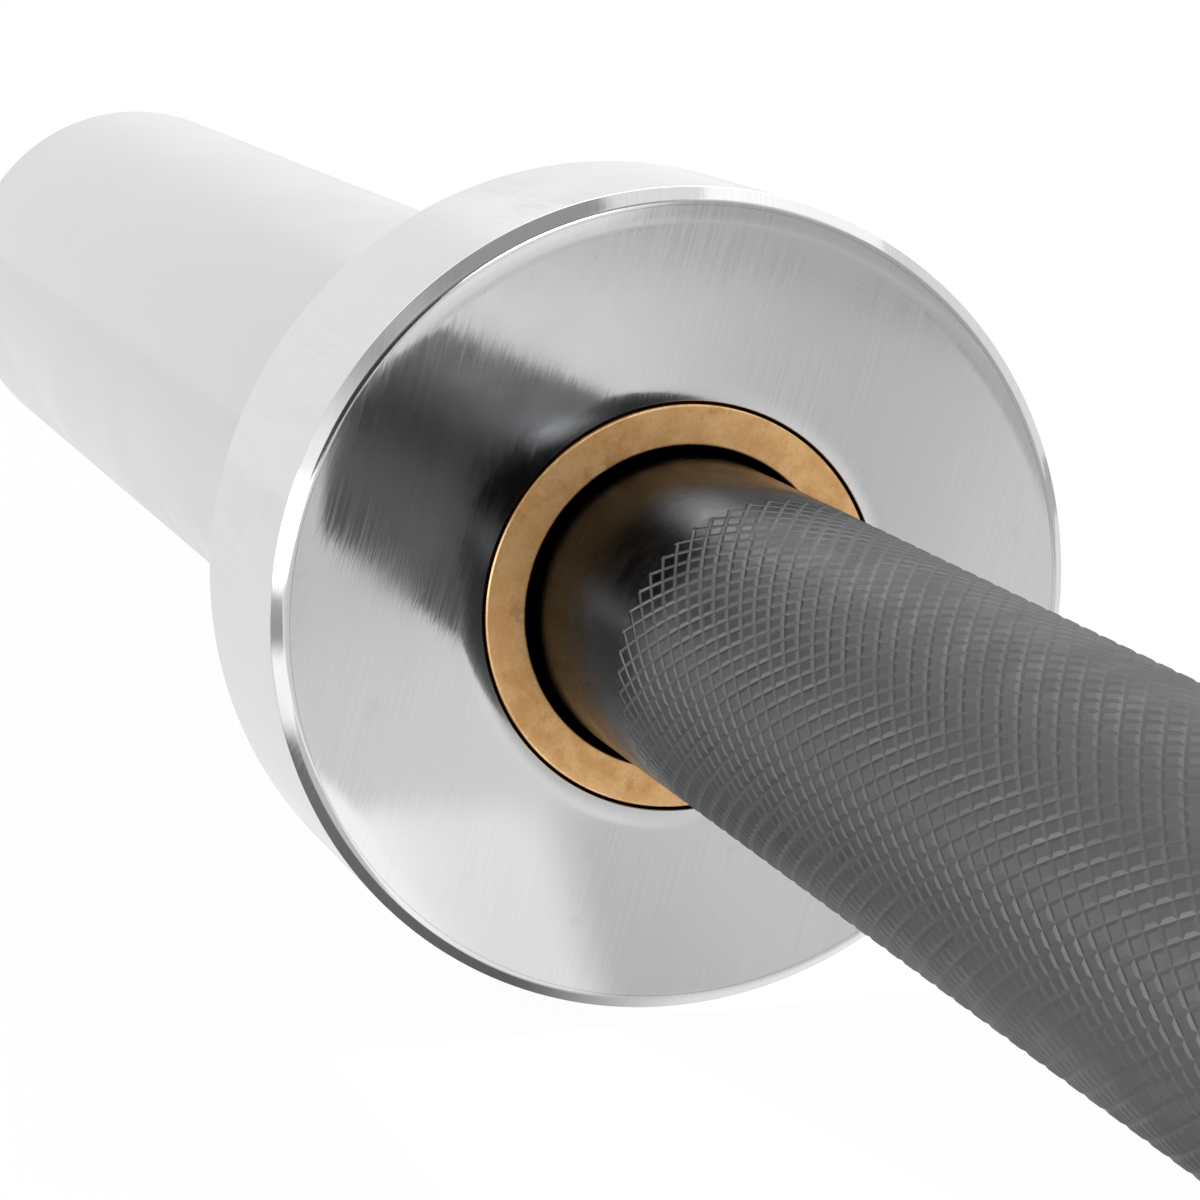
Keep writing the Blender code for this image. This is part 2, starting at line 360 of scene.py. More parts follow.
def cap_ring_mesh(name, side):
    """The spring ring as a filled curve, made into a mesh and turned to lie across the bar."""
    thickness = CAP_RING_HIGH.x - CAP_RING_LOW.x
    curve = bpy.data.curves.new(name, "CURVE")
    curve.dimensions = "2D"
    curve.fill_mode = "BOTH"
    curve.extrude = thickness / 2
    for points in cap_ring_outlines():
        spline = curve.splines.new("POLY")
        spline.points.add(len(points) - 1)
        for point, (y, z) in zip(spline.points, points):
            point.co = (y, z, 0.0, 1.0)
        spline.use_cyclic_u = True
    blank = bpy.data.objects.new(name, curve)
    bpy.context.scene.collection.objects.link(blank)
    graph = bpy.context.evaluated_depsgraph_get()
    mesh = bpy.data.meshes.new_from_object(blank.evaluated_get(graph))
    bpy.data.objects.remove(blank)
    middle_t = (CAP_RING_LOW.x + CAP_RING_HIGH.x) / 2
    for vertex in mesh.vertices:
        y, z, depth = vertex.co
        vertex.co = (side * (middle_t + depth), side * y, z)
    mesh.shade_smooth()
    mesh.set_sharp_from_angle(angle=SHARP_ANGLE)
    return mesh


def lead_in(row):
    """How fully the knurl is formed at a row: shallow and narrow at both of its ends."""
    s = min(1.0, min(row, KNURL_ROWS - row) * ROW / LEAD_IN)
    return LEAD_IN_START + (1 - LEAD_IN_START) * s * s * (3 - 2 * s)


def knurl_faces():
    """The knurl as (corners, is_land). A corner is (row, step, depth), and rows count from its outer end.

    Grooves cross at whole rows and steps. Each diamond between them has a flat top, and four flanks that
    fall to the crossings at its corners. The rows at both ends have half diamonds.
    """
    faces = []
    for row in range(KNURL_ROWS + 1):
        reach = 1 - GROOVE_SHARE * lead_in(row)
        deep = KNURL_DEPTH * lead_in(row)
        deep_before = KNURL_DEPTH * lead_in(row - 1)
        deep_after = KNURL_DEPTH * lead_in(row + 1)
        for middle in range(1 + row % 2, AROUND + 1, 2):
            low, high = (row, middle - reach, 0.0), (row, middle + reach, 0.0)
            low_cross, high_cross = (row, middle - 1, deep), (row, middle + 1, deep)
            land = [high]
            if row > 0:
                before, before_cross = (row - reach, middle, 0.0), (row - 1, middle, deep_before)
                faces.append(([high_cross, before_cross, before, high], False))
                faces.append(([before_cross, low_cross, low, before], False))
                land.append(before)
            land.append(low)
            if row < KNURL_ROWS:
                after, after_cross = (row + reach, middle, 0.0), (row + 1, middle, deep_after)
                faces.append(([after_cross, high_cross, high, after], False))
                faces.append(([low_cross, after_cross, after, low], False))
                land.append(after)
            faces.append((land, True))
    return faces


def knurl_end_faces(row, out):
    """The strip beside the knurl's first or last row, where its grooves run out into the plain shaft.

    The plain shaft has its own points at half steps, and the strip's far side meets them.
    """
    faces = []
    reach = 1 - GROOVE_SHARE * lead_in(row)
    deep = KNURL_DEPTH * lead_in(row)
    near = row + out * GROOVE_RUNOUT / ROW
    far = near + out * BLEND_WIDTH / ROW
    for middle in range(1 + row % 2, AROUND + 1, 2):
        steps = (middle - reach, middle + reach, middle + 2 - reach)
        low, high, next_low = [(row, step, 0.0) for step in steps]
        near_low, near_high, near_next = [(near, step, 0.0) for step in steps]
        far_low, far_high, far_next = [(far, middle + half, 0.0) for half in (-0.5, 0.5, 1.5)]
        cross = (row, middle + 1, deep)
        strip = [
            ([low, high, near_high, near_low], True),
            ([high, cross, near_high], False),
            ([cross, next_low, near_next], False),
            ([cross, near_next, near_high], False),
            ([near_low, near_high, far_high, far_low], True),
            ([near_high, near_next, far_next, far_high], True),
        ]
        if out > 0:
            strip = [(corners[::-1], is_land) for corners, is_land in strip]
        faces += strip
    return faces


def knurl_on_shaft(first_share, last_share):
    """The knurl placed on the shaft, where it takes up the profile's length between two shares.

    Each face is (corners as (radius, t, step, share), normal as (radial, axial)), and a flank's normal is
    left to its own plane.
    """
    low_t = KNURL_END_T - KNURL_EDGE
    span = KNURL_START_T + KNURL_EDGE - low_t
    faces = []
    for corners, is_land in (
        *knurl_faces(),
        *knurl_end_faces(0, -1),
        *knurl_end_faces(KNURL_ROWS, 1),
    ):
        placed = []
        for row, step, depth in corners:
            t = KNURL_START_T - row * ROW
            share = first_share + (t - low_t) / span * (last_share - first_share)
            placed.append((SHAFT_R - depth, t, step, share))
        faces.append((placed, (1.0, 0.0) if is_land else None))
    return faces


def plain_on_shaft(profile, shares, knurled):
    """The shaft's turned stretches, as faces of the same form. The stretch that is knurled is left out."""
    faces = []
    for i, (start, end) in enumerate(zip(profile, profile[1:])):
        if i == knurled:
            continue
        along = (end - start).normalized()
        normal = (along.y, -along.x)
        for k in range(AROUND):
            a, b = k + 0.5, k + 1.5
            corners = [
                (*end, a, shares[i + 1]),
                (*start, a, shares[i]),
                (*start, b, shares[i]),
                (*end, b, shares[i + 1]),
            ]
            faces.append((corners, normal))
    return faces


def welded(name, faces, side):
    """A mesh of faces given by their places on the shaft, where corners at one place share one vertex."""
    found = {}
    verts = []
    polygons = []
    spots = []
    normals = []
    for corners, normal in faces:
        if side < 0:
            corners = corners[::-1]
        polygon = []
        for radius, t, step, share in corners:
            angle = step * math.pi / KNURL_TEETH + KNURL_PHASE
            turn = Vector((0.0, math.cos(angle), math.sin(angle)))
            around = round(step % AROUND * WELDED_PER_STEP) if radius else 0
            key = (round(radius * WELDED_PER_METRE), round(t * WELDED_PER_METRE), around)
            if key not in found:
                found[key] = len(verts)
                verts.append(turn * radius + Vector((side * t, 0.0, 0.0)))
            if found[key] in polygon:
                continue
            polygon.append(found[key])
            spots.append((step / (AROUND + 2), share))
            if normal:
                normals.append(turn * normal[0] + Vector((side * normal[1], 0.0, 0.0)))
        if not normal:
            a, b, c = (verts[v] for v in polygon[:3])
            flat = (b - a).cross(c - b).normalized()
            normals += [flat] * len(polygon)
        polygons.append(polygon)

    mesh = new_mesh(name, verts, polygons, spots)
    mesh.normals_split_custom_set(normals)
    return mesh


def shaft_half_mesh(name, side):
    """One half of the shaft, from the bar's middle to its end, with its knurl and ring grooves."""
    end_t = SHAFT_HIGH.x
    groove_r = SHAFT_R - SHAFT_GROOVE_DEPTH
    inner = [(0.0, 0.0), (SHAFT_R, 0.0), (SHAFT_R, KNURL_END_T - KNURL_EDGE)]
    outer = [(SHAFT_R, KNURL_START_T + KNURL_EDGE)]
    for low, high in ((INNER_RING_LOW, INNER_RING_HIGH), (OUTER_RING_LOW, OUTER_RING_HIGH)):
        walls = (low.x - GAP, high.x + GAP)
        outer += [(SHAFT_R, walls[0]), (groove_r, walls[0]), (groove_r, walls[1]), (SHAFT_R, walls[1])]
    outer += [(SHAFT_R, end_t - END_CHAMFER), (SHAFT_R - END_CHAMFER, end_t), (0.0, end_t)]

    profile = [Vector(point) for point in inner + outer]
    shares = lengths_along(profile, False)
    knurled = len(inner) - 1
    faces = knurl_on_shaft(shares[knurled], shares[knurled + 1])
    faces += plain_on_shaft(profile, shares, knurled)
    return welded(name, faces, side)


def add(tree, kind, inputs=(), **settings):
    """A new node. Its inputs are given by name or number, as a value or as the socket to link from."""
    node = tree.nodes.new(kind)
    for key, value in settings.items():
        setattr(node, key, value)
    for key, value in dict(inputs).items():
        if isinstance(value, bpy.types.NodeSocket):
            tree.links.new(value, node.inputs[key])
        else:
            node.inputs[key].default_value = value
    return node


def math_node(tree, operation, *values):
    return add(tree, "ShaderNodeMath", enumerate(values), operation=operation).outputs[0]


def vector_math(tree, operation, *values):
    return add(tree, "ShaderNodeVectorMath", enumerate(values), operation=operation).outputs[0]


def times(tree, first, *others):
    """The product of numbers."""
    for other in others:
        first = math_node(tree, "MULTIPLY", first, other)
    return first


def largest(tree, first, *others):
    for other in others:
        first = math_node(tree, "MAXIMUM", first, other)
    return first


def less(tree, a, b):
    return math_node(tree, "SUBTRACT", a, b)


def fade(tree, value, span, levels=(0.0, 1.0)):
    """A number that goes smoothly from the first level to the second while a value crosses a span."""
    inputs = {
        "Value": value,
        "From Min": span[0],
        "From Max": span[1],
        "To Min": levels[0],
        "To Max": levels[1],
    }
    node = add(tree, "ShaderNodeMapRange", inputs, interpolation_type="SMOOTHSTEP")
    return node.outputs["Result"]


def blend(tree, factor, a, b):
    """A number between a and b."""
    return math_node(tree, "MULTIPLY_ADD", factor, less(tree, b, a), a)


def mix_color(tree, factor, a, b):
    """A colour between a and b, each given as three numbers or as a socket."""
    inputs = {MIX_FACTOR: factor}
    for number, color in ((MIX_A, a), (MIX_B, b)):
        inputs[number] = color if isinstance(color, bpy.types.NodeSocket) else (*color, 1.0)
    return add(tree, "ShaderNodeMix", inputs, data_type="RGBA").outputs[MIX_RESULT]


def new_material(name, metallic, **constants):
    """A material with only its shader and the object's own coordinates."""
    material = bpy.data.materials.new(name)
    material.use_nodes = True
    tree = material.node_tree
    shader = tree.nodes["Principled BSDF"]
    shader.inputs["Metallic"].default_value = metallic
    for key, value in constants.items():
        shader.inputs[key.replace("_", " ")].default_value = value
    coords = add(tree, "ShaderNodeTexCoord").outputs["Object"]
    return material, tree, shader, coords


def finish_shader(tree, shader, color, rough, normal):
    tree.links.new(color, shader.inputs["Base Color"])
    tree.links.new(rough, shader.inputs["Roughness"])
    tree.links.new(normal, shader.inputs["Normal"])


def noise(tree, vector, scale, detail, roughness=0.5):
    """Noise with a number of grains to the metre. Its outputs are Fac, a number, and Color, three of them."""
    inputs = {"Vector": vector, "Scale": scale, "Detail": detail, "Roughness": roughness}
    return add(tree, "ShaderNodeTexNoise", inputs)


def grain_bump(tree, height, strength, distance):
    inputs = {"Strength": strength, "Distance": distance, "Height": height}
    return add(tree, "ShaderNodeBump", inputs).outputs["Normal"]


def radius_and_t(tree, coords):
    """How far a point lies from the bar's axis, and its distance along it from the bar's middle."""
    x, y, z = add(tree, "ShaderNodeSeparateXYZ", {"Vector": coords}).outputs
    across = add(tree, "ShaderNodeCombineXYZ", {"Y": y, "Z": z}).outputs[0]
    radius = add(tree, "ShaderNodeVectorMath", {0: across}, operation="LENGTH").outputs["Value"]
    return radius, math_node(tree, "ABSOLUTE", x)


def stroke_field(tree, coords, lean, across, along):
    """Noise drawn out into straight strokes of a width and a length, which lean by an angle about the bar."""
    turned_coords = add(
        tree, "ShaderNodeVectorRotate", {"Vector": coords, "Angle": lean}, rotation_type="X_AXIS"
    ).outputs[0]
    stretched = vector_math(tree, "MULTIPLY", turned_coords, (1 / along, 1 / across, 1 / along))
    return noise(tree, stretched, scale=1.0, detail=3.0, roughness=0.6)


def centred(tree, field):
    """Noise as three numbers about zero."""
    return vector_math(tree, "SUBTRACT", field, (0.5, 0.5, 0.5))


def strokes(tree, coords, lean, across, along, strength):
    """Small tilts of the surface that run in strokes."""
    field = stroke_field(tree, coords, lean, across, along).outputs["Color"]
    inputs = {"Vector": centred(tree, field), "Scale": strength}
    return add(tree, "ShaderNodeVectorMath", inputs, operation="SCALE").outputs[0]


def tilted_normal(tree, *tilts):
    """The surface's normal with small tilts added."""
    normal = add(tree, "ShaderNodeNewGeometry").outputs["Normal"]
    for tilt in tilts:
        normal = vector_math(tree, "ADD", normal, tilt)
    return vector_math(tree, "NORMALIZE", normal)


def collar_plating():
    """Polished plating: fine straight strokes, and faint rings that the last polish left round the bore."""
    material, tree, shader, coords = new_material("bright plating, polished", 1.0)
    radius, _ = radius_and_t(tree, coords)

    # The strokes are strongest on the face and fainter round the rim.
    on_face = fade(tree, radius, span=(COLLAR_R - 0.0006, COLLAR_R - 0.0002), levels=(1.0, 0.3))
    wide_strength = times(tree, on_face, 0.020)
    fine_strength = times(tree, on_face, 0.012)
    wide = strokes(tree, coords, math.radians(20), across=0.00012, along=0.004, strength=wide_strength)
    fine = strokes(tree, coords, math.radians(12), across=0.00006, along=0.002, strength=fine_strength)

    # The plating is duller where a smear lies and where the polish worked across it, in strokes or in rings.
    smear = noise(tree, coords, scale=110.0, detail=4.0).outputs["Fac"]
    brushed = stroke_field(tree, coords, math.radians(16), across=0.00025, along=0.012).outputs["Fac"]
    rings_per_metre = 2600.0
    ring_place = times(tree, radius, rings_per_metre)
    rings = add(tree, "ShaderNodeTexNoise", {"W": ring_place, "Detail": 3.0}, noise_dimensions="1D")
    worked = blend(tree, fade(tree, smear, span=(0.42, 0.58)), brushed, rings.outputs["Fac"])
    smeared_rough = fade(tree, smear, span=(0.3, 0.7), levels=(0.06, 0.10))
    worked_rough = fade(tree, worked, span=(0.40, 0.65), levels=(0.0, 0.05))
    rough = math_node(tree, "ADD", smeared_rough, worked_rough)

    clean = mix_color(tree, fade(tree, worked, span=(0.35, 0.65)), *PLATING_TONES)
    stain = noise(tree, coords, scale=260.0, detail=5.0, roughness=0.6).outputs["Fac"]
    color = mix_color(tree, fade(tree, stain, span=(0.64, 0.80)), clean, PLATING_STAIN)
    finish_shader(tree, shader, color, rough, tilted_normal(tree, wide, fine))
    return material


def sleeve_plating():
    """Bright tube with faint turning lines round it."""
    material, tree, shader, coords = new_material("bright plating, turned tube", 1.0)
    lines_per_metre = (4000.0, 60.0, 60.0)
    line_tilt = (0.02, 0.004, 0.004)
    lines = vector_math(tree, "MULTIPLY", coords, lines_per_metre)
    field = noise(tree, lines, scale=1.0, detail=2.0).outputs["Color"]
    tilt = vector_math(tree, "MULTIPLY", centred(tree, field), line_tilt)
    smear = noise(tree, coords, scale=45.0, detail=4.0).outputs["Fac"]
    rough = fade(tree, smear, span=(0.3, 0.7), levels=(0.12, 0.20))
    color = mix_color(tree, smear, *TUBE_TONES)
    finish_shader(tree, shader, color, rough, tilted_normal(tree, tilt))
    return material


def bearing_bronze():
    """Mottled bronze with a burnished outer edge, and black painted shade on its mouth and bore round the
    shaft.
    """
    material, tree, shader, coords = new_material("bearing bronze", 1.0)
    radius, t = radius_and_t(tree, coords)
    blotch = noise(tree, coords, scale=420.0, detail=4.0, roughness=0.6).outputs["Fac"]
    grain = noise(tree, coords, scale=2600.0, detail=3.0, roughness=0.7).outputs["Fac"]
    stain = noise(tree, coords, scale=230.0, detail=5.0, roughness=0.7).outputs["Fac"]

    clean = mix_color(tree, fade(tree, blotch, span=(0.35, 0.65)), *BRONZE_TONES)
    stained = fade(tree, stain, span=(0.54, 0.68), levels=(0.0, 0.55))
    specks = fade(tree, grain, span=(0.52, 0.75), levels=(0.0, 0.40))
    mottled = mix_color(tree, specks, mix_color(tree, stained, clean, BRONZE_STAIN), BRONZE_SPECK)

    # Painted shade: the mouth and bore round the shaft are painted black, as the gap there lies in shadow.
    mouth_r = SHAFT_R + MOUTH_GAP
    inside = fade(tree, t, span=(FACE_T + 0.0002, FACE_T + 0.0008))
    near_shaft = fade(tree, radius, span=(mouth_r + 0.0001, mouth_r + 0.0004), levels=(1.0, 0.0))
    color = mix_color(tree, times(tree, inside, near_shaft), mottled, PAINTED_GAP_SHADE)

    flat_rough = fade(tree, blotch, span=(0.3, 0.7), levels=(0.56, 0.46))
    burnished = fade(tree, radius, span=(BUSHING_R - 0.0005, BUSHING_R - 0.0001))
    burnished_change = -0.22
    rough = math_node(tree, "MULTIPLY_ADD", burnished, burnished_change, flat_rough)
    finish_shader(tree, shader, color, rough, grain_bump(tree, grain, strength=0.5, distance=0.00001))
    return material


def oxide_steel():
    """The shaft: nearly black and glossy where it is plain, and greyer and duller over the knurl. It is
    painted black as shade where it runs into the bushing's gap.

    The grooves are a lighter net. In the ring grooves and at the ends this is bare metal; over the knurl it
    is also a painted highlight, standing in for the light on the knurl's flanks, clearest beside the collars
    and faded from there.
    """
    material, tree, shader, coords = new_material("dark oxide steel", 1.0, Specular_Tint=OXIDE_GLANCE_TINT)
    radius, t = radius_and_t(tree, coords)
    grain = noise(tree, coords, scale=1800.0, detail=4.0, roughness=0.7).outputs["Fac"]
    smear = noise(tree, coords, scale=170.0, detail=4.0, roughness=0.6).outputs["Fac"]

    # How much a point is knurled, and how deep in a groove it lies.
    outer_end = fade(tree, t, span=(KNURL_START_T - LEAD_IN, KNURL_START_T), levels=(1.0, 0.0))
    inner_end = fade(tree, t, span=(CENTRE_PLAIN / 2, CENTRE_PLAIN / 2 + 0.012))
    knurled = times(tree, outer_end, inner_end)
    groove_span = (SHAFT_R - KNURL_DEPTH * 0.6, SHAFT_R - KNURL_DEPTH * 0.05)
    groove = fade(tree, radius, span=groove_span, levels=(1.0, 0.0))

    plain_tone = mix_color(tree, fade(tree, smear, span=(0.38, 0.62)), *OXIDE_TONES)
    land_tone = mix_color(tree, grain, *LAND_TONES)
    bare_and_highlight_tone = mix_color(tree, grain, *BARE_AND_HIGHLIGHT_TONES)
    # Painted highlight: over the knurl the lighter groove tone is kept strongest beside the collars and faded
    # further in, standing in for the light that the knurl's flanks catch. In the ring grooves and at the ends
    # it is bare metal.
    faded = fade(tree, t, span=(KNURL_START_T - 0.055, KNURL_START_T - 0.012), levels=(0.90, 0.52))
    bare_and_highlight_share = times(tree, groove, less(tree, 1.0, times(tree, knurled, faded)))
    bare = mix_color(tree, bare_and_highlight_share, mix_color(tree, knurled, plain_tone, land_tone), bare_and_highlight_tone)
    # Painted shade: the shaft goes black where it runs into the bushing, and for a few millimetres before the
    # collar's face.
    painted_gap_shade = fade(tree, t, span=(FACE_T - 0.0035, FACE_T))
    color = mix_color(tree, painted_gap_shade, bare, PAINTED_GAP_SHADE)

    plain_rough = fade(tree, smear, span=(0.38, 0.62), levels=(0.18, 0.28))
    collar_side = fade(tree, t, span=(FACE_T - 0.014, FACE_T - 0.003), levels=(0.0, 0.25))
    dull = largest(tree, knurled, groove, collar_side)
    dull_change = 0.21
    rough = math_node(tree, "MULTIPLY_ADD", dull, dull_change, plain_rough)
    finish_shader(tree, shader, color, rough, grain_bump(tree, grain, strength=0.6, distance=0.000015))
    return material


def spring_steel():
    """Oiled grey spring steel, for the retaining rings."""
    material, tree, shader, coords = new_material("phosphated spring steel", 1.0)
    grain = noise(tree, coords, scale=1500.0, detail=4.0, roughness=0.6).outputs["Fac"]
    color = mix_color(tree, grain, *SPRING_TONES)
    rough = fade(tree, grain, span=(0.3, 0.7), levels=(0.35, 0.50))
    finish_shader(tree, shader, color, rough, grain_bump(tree, grain, strength=0.4, distance=0.00001))
    return material


def cap_black():
    """Satin black, for the end caps."""
    material, tree, shader, coords = new_material("satin black cap", 0.0)
    grain = noise(tree, coords, scale=2200.0, detail=3.0, roughness=0.6).outputs["Fac"]
    smear = noise(tree, coords, scale=120.0, detail=4.0).outputs["Fac"]
    color = mix_color(tree, smear, *CAP_TONES)
    rough = fade(tree, smear, span=(0.3, 0.7), levels=(0.32, 0.42))
    finish_shader(tree, shader, color, rough, grain_bump(tree, grain, strength=0.4, distance=0.00002))
    return material


def place(name, mesh, material, body, node):
    """A finished piece that stands for a CAD node."""
    obj = bpy.data.objects.new(name, mesh)
    bpy.context.scene.collection.objects.link(obj)
    mesh.materials.clear()
    mesh.materials.append(material)
    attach(obj, body)
    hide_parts(node)


def repaint(node, material):
    """A CAD node that keeps its shape takes a better material."""
    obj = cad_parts[node]
    for slot in obj.material_slots:
        slot.link = "OBJECT"
        slot.material = material


def build_bar():
    plating = collar_plating()
    tube_plating = sleeve_plating()
    bronze = bearing_bronze()
    oxide = oxide_steel()
    spring = spring_steel()
    black = cap_black()

    for name, side in SIDES:
        sleeve = f"{name}_sleeve"
        shaft = shaft_half_mesh(f"shaft_{name}_half", side)
        place(f"shaft_{name}_half", shaft, oxide, "bar", "shaft")
        for part, corners, material, slot in (
            ("collar", collar_corners(), plating, "collar_plating"),
            ("sleeve_tube", tube_corners(), tube_plating, "sleeve_plating"),
            ("inner_bushing", bushing_corners(), bronze, "bronze"),
            ("end_cap", cap_corners(), black, "cap_steel"),
        ):
            mesh = turned(f"{name}_{part}_finished", corners, side)
            place(mesh.name, mesh, material, sleeve, f"{name}_{part}")
        ring = cap_ring_mesh(f"{name}_end_cap_ring_finished", side)
        place(ring.name, ring, spring, sleeve, f"{name}_end_cap_ring")
        for part in ("outer_bushing", "inner_thrust_washer", "outer_thrust_washer"):
            repaint(f"{name}_{part}", bronze)
        for part in ("inner_retaining_ring", "outer_retaining_ring"):
            repaint(f"{name}_{part}", spring)


def ray_kinds(tree):
    """(1 for what camera and transmitted rays see, 1 for what reflections see)."""
    path = add(tree, "ShaderNodeLightPath")
    seen = largest(tree, path.outputs["Is Camera Ray"], path.outputs["Is Transmission Ray"])
    return seen, path.outputs["Is Glossy Ray"]


# The floor's glow in reflections is painted by place with light and shade: t along the bar and y across it,
# in metres.
# Levels are shares of white, as they are for the studio's walls.


def floor_out_in_front(tree, t, y):
    """Out in front of the collar the light comes in fans round its foot."""
    least_reach = 0.01
    reach = largest(tree, less(tree, FACE_T, t), least_reach)
    fan = math_node(tree, "DIVIDE", y, reach)
    under_bar = fade(tree, t, span=(0.30, 0.40), levels=(0.78, 0.92))
    inner_fan = fade(tree, fan, span=(0.27, 0.42), levels=(1.00, 0.63))
    outer_fan = fade(tree, fan, span=(0.42, 0.64), levels=(0.0, 0.20))
    far_dip = fade(tree, y, span=(0.195, 0.228), levels=(0.0, 0.30))
    aside = less(tree, math_node(tree, "ADD", inner_fan, outer_fan), far_dip)
    return blend(tree, fade(tree, fan, span=(0.10, 0.25)), under_bar, aside)


def floor_by_the_face(tree, t, y):
    """Close to the collar's face there is a bright side and a grey side, with a slanting border between."""
    border_slope = 0.25
    border_y = 0.122
    past_border = math_node(tree, "MULTIPLY_ADD", t, border_slope, less(tree, y, border_y))
    bright_side = fade(tree, past_border, span=(-0.028, -0.012), levels=(1.48, 1.20))
    grey_side = fade(tree, past_border, span=(0.003, 0.018), levels=(0.73, 0.80))
    return blend(tree, fade(tree, past_border, span=(-0.006, 0.001)), bright_side, grey_side)


def floor_shade(tree, t, y, past_face):
    """How much the floor's glow is darkened, as painted shade: under the collar's near side, at its foot, and
    in a band far off.
    """
    near_side = fade(tree, y, span=(-0.095, -0.078))
    under = times(tree, near_side, fade(tree, y, span=(-0.018, 0.004), levels=(0.90, 0.0)))
    foot = times(tree, near_side, fade(tree, y, span=(-0.038, -0.030), levels=(0.50, 0.0)))
    foot = times(tree, foot, fade(tree, t, span=(0.440, 0.455)))
    band_start = fade(tree, y, span=(-0.60, -0.40))
    band = times(tree, band_start, fade(tree, y, span=(-0.20, -0.15), levels=(0.78, 0.0)))
    band = times(tree, band, fade(tree, t, span=(FACE_T - 0.09, FACE_T - 0.04)))
    return largest(tree, times(tree, past_face, under), foot, band)


def floor_beyond_the_collar(tree, t, y):
    """Beyond the collar it is light, and far off to the back it falls to grey."""
    bearing = math_node(tree, "DIVIDE", y, math_node(tree, "ADD", t, FACE_T))
    return fade(tree, bearing, span=(0.30, 0.36), levels=(0.97, 0.50))


def floor_in_reflections(tree, t, y):
    """How light the floor is where metal mirrors it."""
    under_collar = 1.15
    out, close = floor_out_in_front(tree, t, y), floor_by_the_face(tree, t, y)
    level = blend(tree, fade(tree, t, span=(0.424, 0.440)), out, close)
    past_face = fade(tree, t, span=(FACE_T - 0.004, FACE_T + 0.0005))
    level = blend(tree, past_face, level, under_collar)
    level = times(tree, level, less(tree, 1.0, floor_shade(tree, t, y, past_face)))
    past_back = fade(tree, t, span=(COLLAR_HIGH.x, COLLAR_HIGH.x + 0.010))
    return blend(tree, past_back, level, floor_beyond_the_collar(tree, t, y))


def floor_material():
    """White to the camera, with a faint shadow of the bar, and with painted light and shade in reflections.
    """
    material = bpy.data.materials.new("pale floor")
    material.use_nodes = True
    tree = material.node_tree
    tree.nodes.remove(tree.nodes["Principled BSDF"])
    seen, mirrored = ray_kinds(tree)
    coords = add(tree, "ShaderNodeTexCoord").outputs["Object"]
    x, y, _ = add(tree, "ShaderNodeSeparateXYZ", {"Vector": coords}).outputs
    t = math_node(tree, "ABSOLUTE", x)
    away = math_node(tree, "ABSOLUTE", y)
    seen_share = times(tree, seen, fade(tree, away, (0.0, SHADOW_REACH), (FLOOR_SEEN_SHARE, 1.0)))
    share = largest(tree, seen_share, times(tree, mirrored, FLOOR_MIRRORED_SHARE))
    strength = largest(tree, seen, floor_in_reflections(tree, t, y))
    diffuse = add(tree, "ShaderNodeBsdfDiffuse", {"Color": FLOOR_COLOR})
    glow = add(tree, "ShaderNodeEmission", {"Color": WHITE, "Strength": strength})
    mixed = add(tree, "ShaderNodeMixShader", {0: share, 1: diffuse.outputs[0], 2: glow.outputs[0]})
    tree.links.new(mixed.outputs[0], tree.nodes["Material Output"].inputs["Surface"])
    return material


def build_floor():
    """Pale floor that the collars stand on."""
    half = FLOOR_SIZE / 2
    corners = [(x, y, -COLLAR_R) for x, y in ((-half, -half), (half, -half), (half, half), (-half, half))]
    mesh = bpy.data.meshes.new("floor")
    mesh.from_pydata(corners, [], [(0, 1, 2, 3)])
    mesh.materials.append(floor_material())
    floor = bpy.data.objects.new("floor", mesh)
    bpy.context.scene.collection.objects.link(floor)


# The studio's walls are lit by the direction in which they lie: x, y and z are a unit vector's.


def wall_past_the_sleeve(tree, y, z):
    """Along the bar there is a white wall, and above it a large lamp on the far side."""
    lamp = 2.60
    upper_wall = fade(tree, z, span=(0.42, 0.60), levels=(0.90, 1.70))
    above = blend(tree, fade(tree, y, span=(0.0, 0.20)), upper_wall, lamp)
    return blend(tree, fade(tree, z, span=(0.26, 0.40)), 1.0, above)


def wall_behind_the_camera(tree, x, y, z):
    """Dark, with a light wall that greys to the far side, and a small bright window above the camera."""
    far_side, low_near_side, top = 0.52, 0.96, 0.35
    dark_to_light = fade(tree, y, span=(-0.06, 0.14), levels=(0.06, 1.10))
    wall = blend(tree, fade(tree, y, span=(0.27, 0.33)), dark_to_light, far_side)
    low = blend(tree, fade(tree, y, span=(0.0, 0.20)), low_near_side, wall)
    wall = blend(tree, fade(tree, z, span=(0.03, 0.08)), low, wall)
    wall = blend(tree, fade(tree, z, span=(0.45, 0.65)), wall, top)

    inward = times(tree, fade(tree, x, span=(0.86, 0.92)), fade(tree, y, span=(-0.08, 0.05)))
    inward = times(tree, inward, fade(tree, y, span=(0.14, 0.24), levels=(1.0, 0.0)))
    window = times(tree, inward, fade(tree, z, span=(0.25, 0.32)))
    return blend(tree, window, wall, fade(tree, z, span=(0.32, 0.37), levels=(5.00, 12.00)))


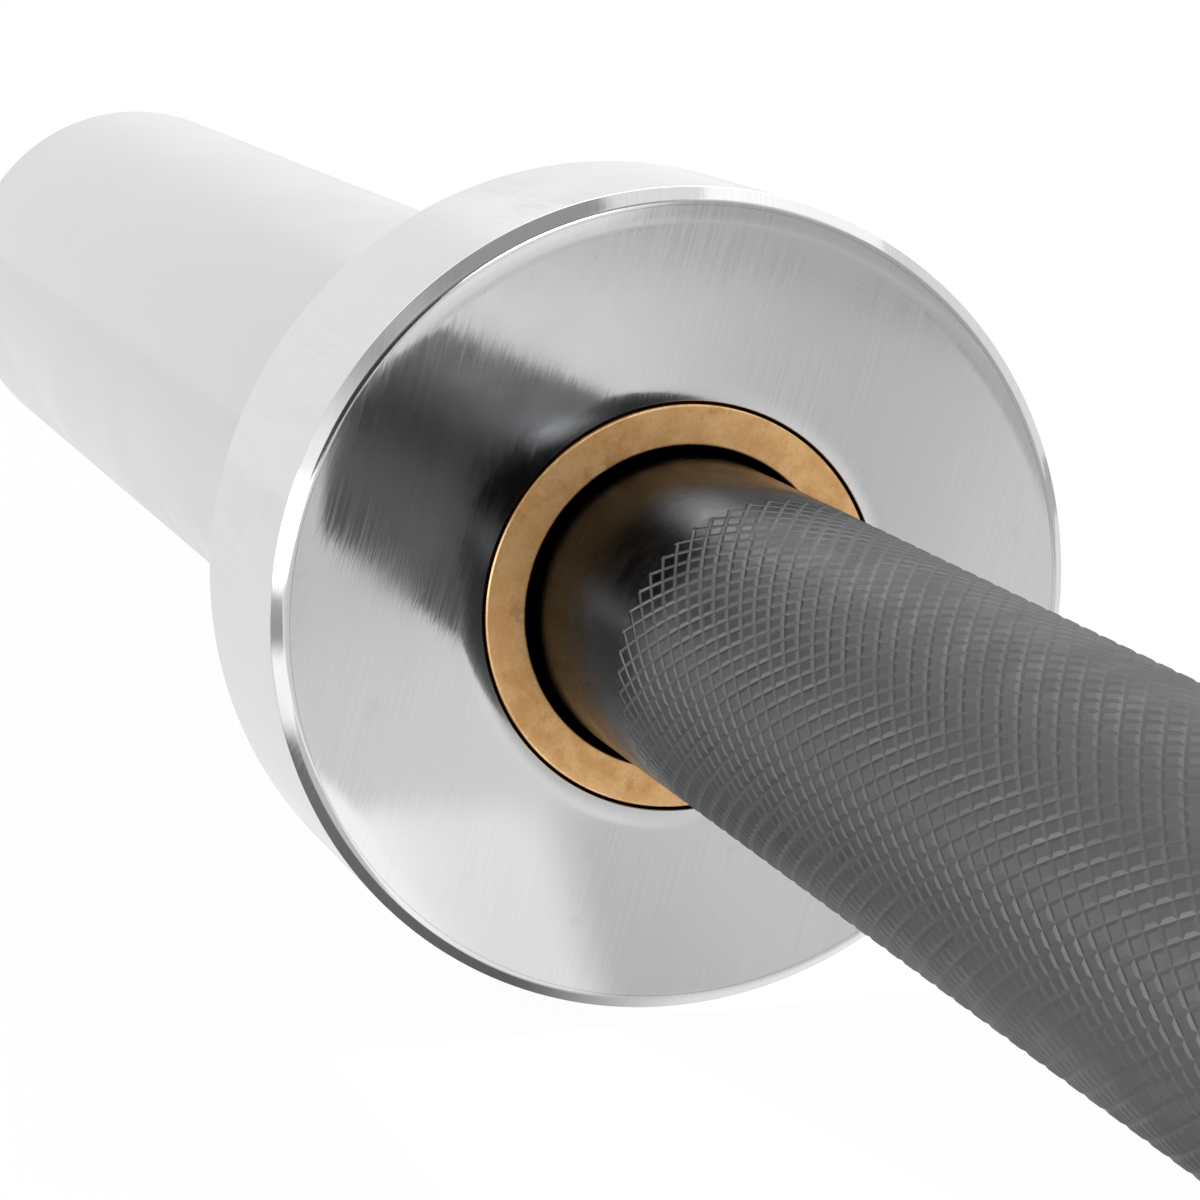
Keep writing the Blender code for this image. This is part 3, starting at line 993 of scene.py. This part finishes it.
def studio_level(tree, x, y, z):
    """How light the studio is in a direction: light walls, greyer overhead and dark behind the camera."""
    back_wall = 0.96
    front_wall = fade(tree, z, span=(0.35, 0.75), levels=(1.25, 0.46))
    ceiling = fade(tree, y, span=(0.06, 0.13), levels=(0.42, 1.05))
    past_sleeve = wall_past_the_sleeve(tree, y, z)
    behind = wall_behind_the_camera(tree, x, y, z)
    level = blend(tree, fade(tree, y, span=(-0.75, -0.45), levels=(1.0, 0.0)), back_wall, front_wall)
    level = blend(tree, fade(tree, x, span=(-0.55, -0.30), levels=(1.0, 0.0)), level, past_sleeve)
    level = blend(tree, fade(tree, x, span=(0.30, 0.55)), level, behind)
    return blend(tree, fade(tree, z, span=(0.70, 0.90)), level, ceiling)


def build_world():
    """White to the camera. All else sees the studio."""
    world = bpy.data.worlds.new("studio")
    bpy.context.scene.world = world
    world.use_nodes = True
    world.cycles.sampling_method = "NONE"
    tree = world.node_tree
    background = tree.nodes["Background"]
    seen, _ = ray_kinds(tree)
    direction = add(tree, "ShaderNodeTexCoord").outputs["Generated"]
    x, y, z = add(tree, "ShaderNodeSeparateXYZ", {"Vector": direction}).outputs
    strength = largest(tree, seen, studio_level(tree, x, y, z))
    background.inputs["Color"].default_value = WHITE
    tree.links.new(strength, background.inputs["Strength"])


def softbox(name, place_at, aim_at, width, height, radiance):
    """A rectangular lamp that looks at a point, and isn't itself in the picture."""
    lamp = bpy.data.lights.new(name, "AREA")
    lamp.shape = "RECTANGLE"
    lamp.size = width
    lamp.size_y = height
    lamp.energy = radiance * math.pi * width * height
    obj = bpy.data.objects.new(name, lamp)
    obj.location = place_at
    obj.rotation_euler = (Vector(aim_at) - Vector(place_at)).to_track_quat("-Z", "Y").to_euler()
    obj.visible_camera = False
    bpy.context.scene.collection.objects.link(obj)


def build_lights():
    softbox(
        "overhead softbox",
        place_at=(0.0, 0.9, 1.15),
        aim_at=(0.0, 0.0, 0.0),
        width=2.2,
        height=0.8,
        radiance=0.40,
    )
    softbox(
        "front strip",
        place_at=(-0.2, -0.42, 0.056),
        aim_at=(-0.2, 0.0, 0.056),
        width=1.4,
        height=0.145,
        radiance=2.2,
    )


def build_camera():
    data = bpy.data.cameras.new("camera")
    data.sensor_width = CAMERA_SENSOR
    data.lens = CAMERA_LENS
    data.clip_start, data.clip_end = CAMERA_CLIP
    camera = bpy.data.objects.new("camera", data)
    camera.location = CAMERA_PLACE
    camera.rotation_euler = CAMERA_AIM.to_track_quat("-Z", "Y").to_euler()
    bpy.context.scene.collection.objects.link(camera)
    bpy.context.scene.camera = camera


build_bar()
build_floor()
build_world()
build_lights()
build_camera()
bpy.context.scene.view_settings.view_transform = "Standard"
